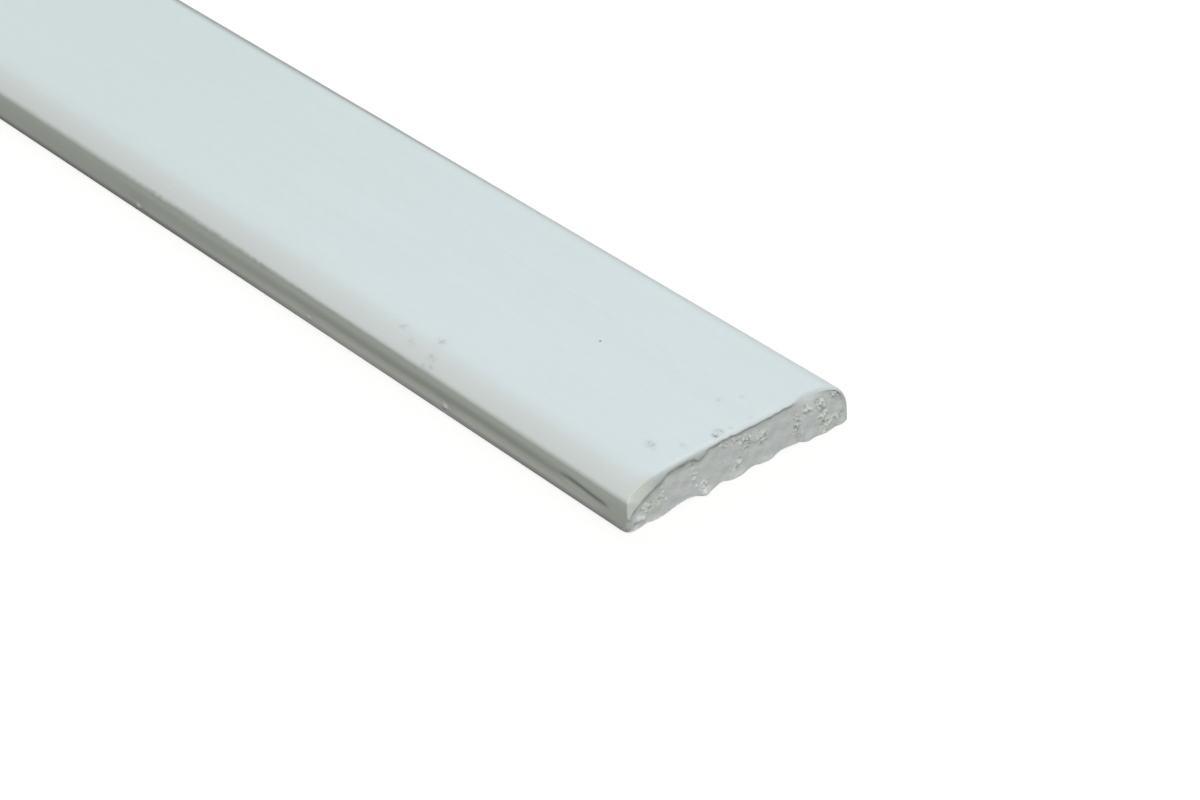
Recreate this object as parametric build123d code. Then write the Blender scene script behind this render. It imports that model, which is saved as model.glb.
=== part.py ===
# White-primed softwood architrave, one length of 12 x 69 mm moulding, lying on its flat back.
# X runs along the board, Y across it from the thin front edge to the round back edge, Z up.
# The origin is the middle of the flat back. All sizes are in millimetres.
from build123d import *
import os

# The stock: length, width and thickness
LENGTH = 2100.0
WIDTH = 69.0
THICKNESS = 12.0

# The section: the face sweeps down to a thin square front edge, and the back edge is rounded over
FRONT_HEIGHT = 9.0
SWEEP_WIDTH = 12.0
BACK_ROUND = 8.0
FRONT_ARRIS = 1.0
FRONT_BASE_ARRIS = 0.9
BACK_BASE_ARRIS = 1.0

# The shallow hollow along the front edge, which stops short of the primed end
HOLLOW_HEIGHT = 5.0
HOLLOW_DEPTH = 0.5
HOLLOW_CENTRE = 4.8
HOLLOW_STOP = 5.5

# The far end: a plain saw cut with eased edges
FAR_END_EASE = 0.4

# The near end: a saw cut that leans back a little from its foot up, with rounded corners
CUT_SETBACK = 1.2
CUT_LEAN = 0.5
SAWN_CORNER = 1.0

# The broken foot of the saw cut: (distance from the front edge, reach beyond the saw cut)
FOOT_HEIGHT = 3.0
FOOT_WAVES = [
    (2.1, 0.25),
    (6.6, -0.2),
    (9.5, 0.2),
    (17.5, -0.8),
    (20.7, -0.55),
    (23.4, 0.85),
    (30.0, -0.5),
    (34.0, 0.4),
    (39.3, -0.35),
    (43.5, 0.4),
    (48.6, -0.65),
    (53.5, -0.15),
    (56.5, 0.85),
    (62.0, CUT_SETBACK),
    (66.0, 0.85),
]

# The primer lip: it rolls over the top edge and stands proud of the top of the saw cut
LIP_PROUD = 0.4
LIP_ROLL = 0.6
LIP_TOE_HEIGHT = 4.6
LIP_DROP = 0.75
LIP_END_DROP = 0.4
LIP_WIDTH = 53.0

# How far a cutting shape runs past what it cuts
CUT_MARGIN = 2.0

# The share of the smallest arris that a rounding across the end of the board may take up
ARRIS_SHARE = 0.9

FRONT = -WIDTH / 2
BACK = WIDTH / 2
NEAR_END = LENGTH / 2
FAR_END = -LENGTH / 2
SAW_CUT = NEAR_END - CUT_SETBACK
CUT_TOP = SAW_CUT - CUT_LEAN
LIP_FACE = CUT_TOP + LIP_PROUD
ROUNDING_ROOM = ARRIS_SHARE * min(FRONT_ARRIS, FRONT_BASE_ARRIS, BACK_BASE_ARRIS)


def section():
    """The outline across the board: sweep, flat face and round-over above the flat back."""
    with BuildSketch(Plane.YZ) as outline:
        with BuildLine():
            Line((FRONT, 0), (FRONT, FRONT_HEIGHT))
            TangentArc((FRONT + SWEEP_WIDTH, THICKNESS), (FRONT, FRONT_HEIGHT), tangent=(-1, 0))
            Line((FRONT + SWEEP_WIDTH, THICKNESS), (BACK, THICKNESS))
            Line((BACK, THICKNESS), (BACK, 0))
            Line((BACK, 0), (FRONT, 0))
        make_face()
        fillet(outline.vertices().sort_by_distance((BACK, THICKNESS))[0], BACK_ROUND)
        fillet(outline.vertices().sort_by_distance((FRONT, FRONT_HEIGHT))[0], FRONT_ARRIS)
        fillet(outline.vertices().sort_by_distance((FRONT, 0))[0], FRONT_BASE_ARRIS)
        fillet(outline.vertices().sort_by_distance((BACK, 0))[0], BACK_BASE_ARRIS)
    return outline.sketch


def planed_board():
    """The section run to its full length, with the edges of the far end eased."""
    board = extrude(section(), amount=LENGTH / 2, both=True)
    return fillet(board.edges().group_by(Axis.X)[0], min(FAR_END_EASE, ROUNDING_ROOM))


def edge_hollow():
    """A round cutter laid along the front edge, with a ball end that makes the hollow fade out."""
    half_height = HOLLOW_HEIGHT / 2
    radius = (half_height**2 + HOLLOW_DEPTH**2) / (2 * HOLLOW_DEPTH)
    axis_y = FRONT + HOLLOW_DEPTH - radius
    stop = NEAR_END - HOLLOW_STOP - half_height
    start = FAR_END - CUT_MARGIN
    run = Plane(origin=(start, axis_y, HOLLOW_CENTRE), z_dir=(1, 0, 0))
    cutter = extrude(run * Circle(radius), amount=stop - start)
    return cutter + Pos(stop, axis_y, HOLLOW_CENTRE) * Sphere(radius)


def saw_outline(height, cut, waves):
    """The waste beyond the saw cut, seen from above at one height: rounded corners, wavy edge."""
    left = (cut, FRONT + SAWN_CORNER)
    right = (cut, BACK - SAWN_CORNER)
    beyond = NEAR_END + CUT_MARGIN
    behind = cut - SAWN_CORNER
    with BuildSketch(Plane.XY.offset(height)) as outline:
        with BuildLine():
            Line((behind, FRONT - CUT_MARGIN), (behind, FRONT))
            TangentArc(left, (behind, FRONT), tangent=(0, -1))
            if waves:
                Spline([left, *waves, right])
            else:
                Line(left, right)
            TangentArc(right, (behind, BACK), tangent=(0, 1))
            Line((behind, BACK), (behind, BACK + CUT_MARGIN))
            Line((behind, BACK + CUT_MARGIN), (beyond, BACK + CUT_MARGIN))
            Line((beyond, BACK + CUT_MARGIN), (beyond, FRONT - CUT_MARGIN))
            Line((beyond, FRONT - CUT_MARGIN), (behind, FRONT - CUT_MARGIN))
        make_face()
    return outline.sketch


def saw_waste():
    """What the saw took off the near end: a wavy foot, and above it a cut that leans back."""
    last = WIDTH - 2 * SAWN_CORNER
    waves = [(SAW_CUT + reach, FRONT + place) for place, reach in FOOT_WAVES if place < last]
    wavy = saw_outline(0, SAW_CUT, waves)
    straight = saw_outline(FOOT_HEIGHT, SAW_CUT, [])
    top = saw_outline(THICKNESS, CUT_TOP, [])
    below = extrude(wavy, amount=-CUT_MARGIN)
    foot = loft([wavy, straight], ruled=True)
    leaning = loft([straight, top], ruled=True)
    above = extrude(top, amount=CUT_MARGIN)
    return foot + below + leaning + above


def primer_lip():
    """The rolled top edge of the near end: a short length of the section with rounded edges, kept
    only above the lip's lower edge."""
    behind = CUT_TOP - SAWN_CORNER
    top = THICKNESS + CUT_MARGIN
    with BuildSketch(Plane.YZ.offset(behind)) as zone:
        with BuildLine():
            Polyline(
                (FRONT - CUT_MARGIN, top),
                (FRONT - CUT_MARGIN, LIP_TOE_HEIGHT),
                (FRONT, LIP_TOE_HEIGHT),
                (FRONT + SWEEP_WIDTH, THICKNESS - LIP_DROP),
                (FRONT + LIP_WIDTH, THICKNESS - LIP_END_DROP),
                (FRONT + LIP_WIDTH, top),
                close=True,
            )
        make_face()
    rolled = Pos(behind, 0, 0) * extrude(section(), amount=LIP_FACE - behind)
    rolled = fillet(rolled.edges().group_by(Axis.X)[-1], min(LIP_ROLL, ROUNDING_ROOM))
    return rolled & extrude(zone.sketch, amount=LIP_FACE + CUT_MARGIN - behind)


architrave = planed_board() - saw_waste() + primer_lip() - edge_hollow()

os.makedirs("parts", exist_ok=True)
export_step(architrave, "parts/architrave.step")
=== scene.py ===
import math

import bpy
import numpy as np
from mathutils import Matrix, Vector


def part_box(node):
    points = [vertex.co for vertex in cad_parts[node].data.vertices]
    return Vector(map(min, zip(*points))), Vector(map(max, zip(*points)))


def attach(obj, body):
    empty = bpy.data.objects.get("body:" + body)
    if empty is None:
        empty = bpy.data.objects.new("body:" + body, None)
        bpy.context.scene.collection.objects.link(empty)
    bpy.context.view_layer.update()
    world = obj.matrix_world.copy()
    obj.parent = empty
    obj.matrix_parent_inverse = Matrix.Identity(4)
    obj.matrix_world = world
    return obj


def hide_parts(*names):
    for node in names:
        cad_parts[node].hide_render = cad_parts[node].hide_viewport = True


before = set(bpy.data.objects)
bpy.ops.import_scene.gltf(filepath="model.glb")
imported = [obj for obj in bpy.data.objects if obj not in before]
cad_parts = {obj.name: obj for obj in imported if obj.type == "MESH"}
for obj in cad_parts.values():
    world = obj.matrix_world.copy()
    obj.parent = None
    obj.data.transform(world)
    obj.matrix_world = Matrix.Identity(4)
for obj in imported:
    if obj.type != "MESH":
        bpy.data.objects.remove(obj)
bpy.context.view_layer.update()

# The architrave: its section.
# The real piece is planed softwood moulding. One side of the face sweeps down to a thin square edge,
# the other is rounded over, and the back is flat. Distances are in millimetres: y from the thin front
# edge, z up from the back, and x along the board from the saw cut, with the board at negative x.
MM = 0.001
low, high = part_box("architrave")
WIDTH = (high.y - low.y) / MM
THICKNESS = (high.z - low.z) / MM
LENGTH = (high.x - low.x) / MM
# How far the furthest tip of the saw cut's foot stands out beyond x = 0
TIP_REACH = 0.9
# The thin edge's height, the sweep, the round-over and the three arrises
FRONT_HEIGHT = 9.0
SWEEP_WIDTH = 12.0
BACK_ROUND = 8.0
FRONT_ARRIS = 1.0
FRONT_BASE_ARRIS = 0.9
BACK_BASE_ARRIS = 1.0
# How high up the thin edge the lip of the saw cut begins
LIP_TOE_HEIGHT = 4.6


def arc(centre, radius, start, end, count=40):
    """Points on a circle about centre, from the angle start to end, in degrees."""
    turn = np.radians(np.linspace(start, end, count))
    return np.stack([centre[0] + radius * np.cos(turn), centre[1] + radius * np.sin(turn)], 1)


def run_along(path):
    """How far along a path each of its points lies."""
    return np.concatenate([[0], np.cumsum(np.hypot(*np.diff(path, axis=0).T))])


def line(start, end, count=40):
    """Evenly spaced points on the straight line from start to end."""
    return np.linspace(start, end, count)


def section_outline():
    """The closed outline, clockwise as seen from beyond the saw cut: from the middle of the front base
    arris up the thin edge, over the arc that touches the edge and the sweep, along the sweep's arc,
    which is tangent to the face, round the back and home along the base. Shared points are kept once."""
    drop = THICKNESS - FRONT_HEIGHT
    sweep_radius = (SWEEP_WIDTH**2 + drop**2) / (2 * drop)
    sweep_centre = (SWEEP_WIDTH, THICKNESS - sweep_radius)
    inner = sweep_radius - FRONT_ARRIS
    lift = math.sqrt(inner**2 - (SWEEP_WIDTH - FRONT_ARRIS) ** 2)
    arris_centre = (FRONT_ARRIS, sweep_centre[1] + lift)
    meeting = math.degrees(math.atan2(lift, FRONT_ARRIS - SWEEP_WIDTH))
    base_front = (FRONT_BASE_ARRIS, FRONT_BASE_ARRIS)
    base_back = (WIDTH - BACK_BASE_ARRIS, BACK_BASE_ARRIS)
    round_centre = (WIDTH - BACK_ROUND, THICKNESS - BACK_ROUND)
    runs = [
        arc(base_front, FRONT_BASE_ARRIS, 225, 180),
        line((0, FRONT_BASE_ARRIS), (0, arris_centre[1])),
        arc(arris_centre, FRONT_ARRIS, 180, meeting),
        arc(sweep_centre, sweep_radius, meeting, 90, 90),
        line((SWEEP_WIDTH, THICKNESS), (WIDTH - BACK_ROUND, THICKNESS)),
        arc(round_centre, BACK_ROUND, 90, 0, 90),
        line((WIDTH, THICKNESS - BACK_ROUND), (WIDTH, BACK_BASE_ARRIS)),
        arc(base_back, BACK_BASE_ARRIS, 0, -90),
        line((WIDTH - BACK_BASE_ARRIS, 0), (FRONT_BASE_ARRIS, 0)),
        arc(base_front, FRONT_BASE_ARRIS, 270, 225),
    ]
    points = np.concatenate(runs)
    return points[np.concatenate([[True], np.diff(run_along(points)) > 1e-6])]


outline = section_outline()
outline_at = run_along(outline)
GIRTH = outline_at[-1]
tangent = np.gradient(outline, outline_at, axis=0)
tangent /= np.hypot(*tangent.T)[:, None]


def on_outline(t):
    """The point and the outward normal at the distance t along the outline."""
    point = np.stack([np.interp(t, outline_at, outline[:, i]) for i in (0, 1)], -1)
    along = np.stack([np.interp(t, outline_at, tangent[:, i]) for i in (0, 1)], -1)
    normal = np.stack([-along[..., 1], along[..., 0]], -1)
    return point, normal / np.linalg.norm(normal, axis=-1, keepdims=True)


def place_on_outline(y, z):
    """The distance along the outline of its point nearest to (y, z)."""
    return outline_at[np.argmin(np.hypot(outline[:, 0] - y, outline[:, 1] - z))]


# How far in from its sides the end has its round corner and its corner by the base
ROUND_CORNER_INSET = (2.2, 2.4)
CORNER_INSET = 0.3
# Where the outline passes them, the lip's toe, the end of the sweep and the start of the round-over
TOE = place_on_outline(0, LIP_TOE_HEIGHT)
SWEEP_END = place_on_outline(SWEEP_WIDTH, THICKNESS)
SHOULDER = place_on_outline(WIDTH - BACK_ROUND, THICKNESS)
ROUND_CORNER = place_on_outline(WIDTH - ROUND_CORNER_INSET[0], THICKNESS - ROUND_CORNER_INSET[1])
BACK_CORNER = place_on_outline(WIDTH - CORNER_INSET, CORNER_INSET)

# The architrave: relief of the primed skin.
# Primer was run over the planed wood. The film is smooth, but it keeps nibs of grit, and it has a few
# dents and scuffs near the saw cut. The thin front edge is planed slightly hollow.
FILM_SWELL = 0.010
# How far the film lies back on the face and the thin edge, and how far it drew down at the arris
FACE_SINK = 0.03
EDGE_SINK = 0.06
ARRIS_DROP = 0.22
# Pimples of grit and small pits of the film: x, y, radius, height
FACE_NIBS = [
    (-86.0, 6.3, 0.6, 0.16), (-86.8, 5.8, 0.5, -0.1), (-80.0, 3.5, 0.6, -0.07),
    (-81.0, 4.2, 0.6, 0.1), (-74.3, 8.4, 0.8, 0.2), (-75.8, 8.6, 0.5, -0.08),
    (-73.0, 3.5, 0.7, -0.14), (-71.4, 3.4, 0.6, 0.1), (-72.5, 1.1, 0.6, 0.1),
    (-70.6, 1.2, 0.7, -0.15),
]
# Dents and scuffs by the saw cut: x, y, half length, half width, depth
FACE_DENTS = [
    (-10.2, 16.2, 1.5, 0.8, 0.16), (-8.1, 15.9, 0.8, 0.6, 0.1), (-4.8, 21.4, 1.3, 0.8, 0.06),
    (-2.9, 29.7, 1.2, 0.9, 0.22), (-3.6, 31.7, 1.4, 0.7, 0.13), (-2.7, 34.5, 1.2, 0.6, 0.07),
    (-13.1, 39.9, 0.7, 0.7, 0.06), (-10.3, 44.9, 0.7, 0.6, 0.05), (-2.2, 40.5, 0.6, 0.8, 0.09),
]
# Grains of dried primer on the thin edge: x, z, radius, height
EDGE_GRAINS = [
    (-187.7, 1.6, 1.1, 0.5), (-64.0, 2.2, 0.9, 0.52), (-116.1, 2.1, 0.65, 0.32),
    (-143.0, 1.6, 0.4, 0.16),
]
# All that stands out on the thin edge: the grains, and a long low swelling by the saw cut
EDGE_NIBS = EDGE_GRAINS + [(-13.0, 0.9, 9.0, 0.10)]
# A grain is this many times as long as high. One that stands out further than the room sits in a
# dish, this many times as wide
NIB_STRETCH = 1.4
NIB_ROOM = 0.12
NIB_DISH = 2.6
# The hollow of the thin edge: where it is deepest, its lower and upper flank, its depth and its end
HOLLOW_BOTTOM = 3.7
HOLLOW_FLANKS = (2.8, 2.6)
HOLLOW_DEPTH = 0.30
HOLLOW_END = -5.5
# The narrow crease in it by its end
CREASE_HEIGHT = 4.95
CREASE_WIDTH = 0.7
CREASE_DEPTH = 0.58
# Above and below the hollow the thin edge leans back: from which z, and how steeply
UPPER_LEAN = (6.4, 0.05)
LOWER_LEAN = (1.9, 0.04)


def ripple(p, q, wavelength, seed, waves=14):
    """Smooth noise of about one wavelength: a sum of sine waves in directions spread evenly round the
    compass, of random lengths and phases, scaled to a standard deviation of 1."""
    draw = np.random.default_rng(seed)
    angle = np.linspace(0, math.pi, waves, endpoint=False) + draw.uniform(0, math.pi / waves, waves)
    rate = 2 * math.pi / (wavelength * draw.uniform(0.75, 1.35, waves))
    phase = draw.uniform(0, 2 * math.pi, waves)
    total = np.zeros(np.broadcast(p, q).shape)
    for a, k, s in zip(angle, rate, phase):
        total += np.sin(k * (p * math.cos(a) + q * math.sin(a)) + s)
    return total * math.sqrt(2 / waves)


def hill(distance, radius):
    """1 at the centre, falling as a bell curve to nothing at about 1.5 radii."""
    return np.exp(-2.2 * (distance / radius) ** 2)


def rise(value, start, end):
    """0 before start, 1 after end, and a smooth S-shaped rise between them."""
    share = np.clip((value - start) / (end - start), 0, 1)
    return share * share * (3 - 2 * share)


def zone(value, share, start, end):
    """The share inside a zone, and 0 outside it: it rises over the span start and falls over end."""
    return share * rise(value, *start) * (1 - rise(value, *end))


def hollow_height(x):
    """How high up the thin edge the hollow runs at x: it wanders, and dips towards its end."""
    wander = 0.15 * np.sin(x / 11.0)
    dip = 0.7 * rise(x, -19, -9)
    return wander - dip


def hollow_share(x, z):
    """The hollow's shape from 0 to 1: half a cosine wave down each flank, fading out towards its end
    and far along the board."""
    offset = z - HOLLOW_BOTTOM - hollow_height(x)
    flank = np.where(offset > 0, HOLLOW_FLANKS[1], HOLLOW_FLANKS[0])
    shape = 0.5 + 0.5 * np.cos(math.pi * np.clip(offset / flank, -1, 1))
    run_out = 1 - rise(x, HOLLOW_END - 5.0, HOLLOW_END)
    far = 1 - 0.75 * rise(-x, 80, 190)
    return shape * run_out * far


def crease_share(x, z):
    """The crease's shape from 0 to 1: a bell curve across, there only on the last stretch."""
    bell = np.exp(-(((z - CREASE_HEIGHT - hollow_height(x)) / CREASE_WIDTH) ** 2))
    return zone(x, bell, start=(-24, -19), end=(HOLLOW_END - 4.0, HOLLOW_END))


def edge_hollow(x, z):
    """How far the thin edge lies in: the hollow, its crease, and a lean above and below."""
    lean = UPPER_LEAN[1] * np.maximum(0, z - UPPER_LEAN[0])
    lean = lean + LOWER_LEAN[1] * np.maximum(0, LOWER_LEAN[0] - z)
    return HOLLOW_DEPTH * hollow_share(x, z) + CREASE_DEPTH * crease_share(x, z) + lean


def skin(t, x):
    """The primed surface at the distance t along the outline and the place x along the board: the
    section's point, moved along its normal by nibs, which are small hills, by dents, which are bells
    with a low rim, and by a slow swell, straight in by the hollow of the thin edge, and less and less
    so over the start of the sweep, and straight down round the arris, where the film drew back."""
    point, normal = on_outline(t)
    y, z = point[..., 0], point[..., 1]
    face = rise(z, 7.5, 9.2)
    above_base = rise(z, 0.2, 1.2)
    edge = (1 - rise(y, 0.2, 1.2)) * above_base
    inward = (1 - rise(y, 0.2, 3.5)) * above_base * (EDGE_SINK + edge_hollow(x, z))
    out = face * (FILM_SWELL * ripple(x, y, wavelength=17.0, seed=3) - FACE_SINK)
    for cx, cy, radius, height in FACE_NIBS:
        out = out + face * height * hill(np.hypot(x - cx, y - cy), radius)
    for cx, cy, long, wide, depth in FACE_DENTS:
        away = np.hypot((x - cx) / long, (y - cy) / wide)
        rim = 0.35 * hill(away - 1.25, radius=0.5)
        out = out + face * depth * (rim - hill(away, radius=1.0))
    for cx, cz, radius, height in EDGE_NIBS:
        away = np.hypot((x - cx) / NIB_STRETCH, z - cz)
        out = out + edge * height * hill(away, radius)
        inward = inward + edge * max(0, height - NIB_ROOM) * hill(away, NIB_DISH * radius)
    place = point + normal * out[..., None]
    place[..., 0] = place[..., 0] + inward
    drop = ARRIS_DROP * rise(z, 6.5, 8.6) * (1 - rise(y, 0.6, 7.0))
    place[..., 1] = place[..., 1] - drop
    return np.stack([np.broadcast_to(x, y.shape), place[..., 0], place[..., 1]], -1)


# The architrave: the primed saw cut.
# The board was sawn before it was primed. The film rolled over the top edge and set as a lip over the
# cut, and the rough end grain below took blobs, crumbs and pits of primer down to a broken foot.
END_COLUMNS = 380
END_ROWS = 64
ROLL_ROWS = 9
# The lower edge of the lip: y, z
LIP_LINE = [
    (0.4, 4.9), (1.4, 5.7), (3.1, 6.3), (4.4, 7.1), (7.4, 8.3), (10.0, 9.25), (11.9, 9.95),
    (13.8, 10.95), (16.7, 11.0), (19.7, 11.0), (21.0, 10.8), (22.2, 10.0), (23.4, 9.95), (25.0, 11.0),
    (27.1, 11.45), (35.3, 11.55), (40.3, 11.5), (45.4, 11.4), (49.7, 11.7), (51.5, 11.6), (54.0, 11.3),
    (57.0, 11.05), (61.0, 11.0),
]
# Where the face starts to roll over the end: y, x
ROLL_START = [
    (0.0, -0.1), (1.1, -0.65), (4.0, -0.95), (6.8, -0.9), (9.1, -1.0), (12.6, -1.3), (16.0, -1.6),
    (24.0, -1.7), (35.6, -2.2), (47.0, -2.1), (51.0, -2.0), (55.0, -2.1), (57.0, -2.2), (59.0, -2.0),
    (61.0, -1.6), (63.0, -1.15), (66.0, -0.8), (69.0, -0.7),
]
# How far the lip's edge stands out: y, x
LIP_REACH = [
    (0.4, 0.5), (4.0, 0.1), (8.0, -0.3), (12.0, -0.6), (16.0, -0.75), (46.0, -0.8), (51.0, -0.8),
    (53.5, -1.15), (55.0, -1.4), (57.0, -1.5), (59.0, -1.3), (61.0, -0.9), (63.0, -0.45), (65.0, -0.1),
    (67.0, 0.1),
]
# How much the lip's lower edge wavers
LIP_WAVE = 0.08
# The broken foot of the cut: y, x
FOOT_LINE = [
    (0.0, -1.0), (0.8, -0.35), (2.1, -0.03), (4.5, -0.16), (6.6, -0.49), (8.1, -0.15), (10.8, -0.13),
    (14.0, -0.59), (17.2, -1.1), (20.7, -0.91), (22.2, -0.4), (23.4, 0.55), (26.5, -0.11),
    (30.0, -0.79), (32.2, 0.03), (35.7, 0.08), (39.3, -0.65), (42.5, -0.02), (44.3, 0.09),
    (48.6, -0.94), (52.6, -0.52), (54.4, -0.35), (55.8, 0.5), (58.5, 0.41), (61.9, 0.85), (65.3, 0.51),
    (67.1, 0.7), (69.0, 0.45),
]
# How much the cut leans back, and how steep the break of its foot is
CUT_LEAN = 0.092
BREAK_SLOPE = 0.95
# How far the rim lies inside the outline: distance along the outline, inset
RIM_INSET = [
    (0, 0.7), (1.2, 0.9), (0.75 * TOE, 0.9), (TOE, 0.4), (SHOULDER, 1.0), (ROUND_CORNER, 0.7),
    (BACK_CORNER, 0.15), (GIRTH - 3, 0.12), (GIRTH - 1.2, 0.3), (GIRTH, 0.7),
]
# How far in from its sides the corners of the foot are read
SIDE_INSET = 0.6


def through(points, at):
    """A smooth curve through the points: between two of them a cubic, whose slope at each point is
    that of the line between its neighbours."""
    place, value = np.array(points).T
    slope = np.gradient(value, place)
    i = np.clip(np.searchsorted(place, at) - 1, 0, len(place) - 2)
    gap = place[i + 1] - place[i]
    s = np.clip((at - place[i]) / gap, 0, 1)
    start = (1 + 2 * s) * (1 - s) ** 2 * value[i] + s * (1 - s) ** 2 * gap * slope[i]
    end = s**2 * (3 - 2 * s) * value[i + 1] + s**2 * (s - 1) * gap * slope[i + 1]
    return start + end


def between(points, at):
    """The value at a place on the straight lines from each point to the next."""
    return np.interp(at, *np.array(points).T)


def eased(value, before, after, span):
    """The number before up to the span of values, after beyond it, and a smooth change over it."""
    return before + (after - before) * rise(value, *span)


def lip_ripple(y):
    """The noise that the lip's lower edge wavers by."""
    return ripple(y, 0.0, wavelength=2.6, seed=17)


def lip_edge(share):
    """The lower edge of the lip from its toe at 0 to the end of the sweep at 1, evenly along its curve."""
    y = np.linspace(LIP_LINE[0][0], SWEEP_WIDTH, 200)
    z = through(LIP_LINE, y)
    run = run_along(np.stack([y, z], -1))
    z = np.interp(share * run[-1], run, z)
    y = np.interp(share * run[-1], run, y)
    return np.stack([y, z + LIP_WAVE * rise(y, 1, 4) * lip_ripple(y)], -1)


def foot_plane(y):
    """The x of the plain cut at its foot: it lies further out by the round back edge."""
    return eased(y, before=-0.25, after=0.45, span=(51, 58))


def broken_height(y):
    """How high up from the base the foot is broken off: a little less than it is deep."""
    depth = np.maximum(0, foot_plane(y) - through(FOOT_LINE, y))
    return BREAK_SLOPE * depth * rise(y, 0.8, 2.0)


def rim(t):
    """Where the rounding of the end meets the cut, and its x there: the outline moved in a little, the
    top of what is broken off the foot, or the lower edge of the lip."""
    point, normal = on_outline(t)
    on_left = t < TOE
    on_sweep = (t >= TOE) & (t < SWEEP_END)
    on_top = (t >= SWEEP_END) & (t <= ROUND_CORNER)
    on_right = (t > ROUND_CORNER) & (t < BACK_CORNER)
    place = point - normal * between(RIM_INSET, t)[..., None]
    share = np.clip((t - TOE) / (SWEEP_END - TOE), 0, 1)
    place = np.where(on_sweep[..., None], lip_edge(share), place)
    y = point[..., 0]
    flat = on_top & (y < WIDTH - BACK_ROUND)
    wave = LIP_WAVE * (1 - rise(y, 49, 53)) * lip_ripple(y)
    place[..., 1] = np.where(flat, through(LIP_LINE, y) + wave, place[..., 1])
    on_base = t >= BACK_CORNER
    place[..., 1] = place[..., 1] + on_base * broken_height(place[..., 0])
    y, z = place[..., 0], place[..., 1]
    foot = np.maximum(through(FOOT_LINE, y), foot_plane(y) - CUT_LEAN * z)
    foot_left, foot_right = through(FOOT_LINE, SIDE_INSET), through(FOOT_LINE, WIDTH - SIDE_INSET)
    left = between([(0.5, foot_left), (1.5, 0.1), (3.5, 0.3), (4.7, 0.6)], z)
    right = between([(0.6, foot_right), (9.4, LIP_REACH[-1][1])], z)
    x = np.where(on_left, left, np.where(on_sweep | on_top, through(LIP_REACH, y), foot))
    return place, np.where(on_right, right, x)


def roll_start(t):
    """The x at which the skin begins to turn over the end, round the whole outline."""
    point, _ = on_outline(t)
    y = point[..., 0]
    base = through(FOOT_LINE, y) - eased(y, before=1.4, after=0.3, span=(0, 2.5))
    front_corner = through(FOOT_LINE, CORNER_INSET) - 1.3
    left = between([(0, front_corner), (1.2, -0.9), (TOE, ROLL_START[0][1])], t)
    round_corner = through(ROLL_START, WIDTH - ROUND_CORNER_INSET[0])
    back_corner = through(FOOT_LINE, WIDTH - CORNER_INSET) - 0.5
    right = between([(ROUND_CORNER, round_corner), (BACK_CORNER, back_corner)], t)
    on_top = (t >= TOE) & (t <= ROUND_CORNER)
    on_right = (t > ROUND_CORNER) & (t < BACK_CORNER)
    beyond = np.where(on_right, right, base)
    return np.where(t < TOE, left, np.where(on_top, through(ROLL_START, y), beyond))


def roll(t, turn):
    """The film turning over the end, from the skin at turn 0 to the rim at turn 1: a quarter of an
    ellipse, flattened towards a straight bevel over the sweep, by the round shoulder and where the
    foot is broken off."""
    start_x = roll_start(t)
    start = skin(t, start_x)
    place, rim_x = rim(t)
    y = on_outline(t)[0][..., 0]
    on_face = (t > TOE) & (t < SWEEP_END)
    bevel = zone(y, share=0.8, start=(0.3, 2), end=(6, 11)) * on_face
    shoulder = zone(y, share=0.6, start=(51, 55), end=(64, 66.8))
    bevel = np.maximum(bevel, shoulder * (t < ROUND_CORNER))
    bevel = np.maximum(bevel, (t >= BACK_CORNER) * rise(broken_height(y), 0, 0.2))
    forward = (1 - bevel) * np.sin(turn * math.pi / 2) + bevel * turn
    inward = (1 - bevel) * (1 - np.cos(turn * math.pi / 2)) + bevel * turn
    x = start_x + (rim_x - start_x) * forward
    yz = start[..., 1:] + (place - start[..., 1:]) * inward[..., None]
    return np.concatenate([x[..., None], yz], -1)


# Blobs and pits of primer on the cut: y, z, radius, height
CUT_BLOBS = [
    (4.0, 2.35, 1.2, 0.45), (5.3, 1.95, 1.1, 0.42), (2.9, 1.1, 0.8, -0.5), (6.4, 5.1, 0.5, 0.22),
    (7.2, 4.5, 0.5, 0.25), (12.4, 3.7, 0.45, 0.2), (11.4, 7.3, 0.5, 0.15), (20.8, 8.5, 0.55, -0.5),
    (21.6, 3.0, 0.6, 0.25), (23.6, 1.2, 1.0, 0.25), (24.6, 10.3, 0.9, 0.45), (23.6, 9.9, 0.4, -0.2),
    (34.2, 2.6, 0.8, -0.25), (33.4, 2.1, 0.6, 0.25), (35.2, 3.1, 0.5, 0.2), (42.9, 6.0, 0.5, 0.22),
    (55.9, 8.9, 0.6, -0.4), (56.1, 7.9, 0.8, 0.35), (65.4, 9.5, 0.6, 0.3), (67.4, 3.0, 0.5, -0.25),
]
# Patches where the film broke up into crumbs and pits: y, z, half width, half height, how many
CRUMB_PATCHES = [
    (5.0, 4.4, 1.4, 1.0, 12), (7.0, 3.2, 1.2, 1.6, 10), (11.0, 4.4, 1.6, 1.8, 14),
    (20.5, 5.4, 1.2, 2.2, 14), (23.6, 2.4, 1.8, 0.8, 22), (30.5, 9.8, 1.8, 0.8, 18),
    (34.5, 9.6, 1.6, 0.7, 16), (37.2, 7.6, 1.9, 1.5, 64), (34.8, 2.8, 1.6, 1.2, 30),
    (42.6, 6.8, 1.8, 1.8, 34), (53.4, 4.8, 0.9, 3.6, 80), (56.4, 8.2, 1.3, 1.2, 26),
    (61.0, 6.0, 1.3, 4.4, 130), (65.4, 9.3, 1.6, 1.3, 50), (63.4, 2.2, 3.4, 1.4, 50),
]
# A crumb's width as a share of its length, and its height as a share of its width
CRUMB_SHARES = (0.45, 0.9)
# Past this share of the way up the cut, this many rows crowd together
CROWDED_FROM = 0.925
CROWDED_ROWS = 14
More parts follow.
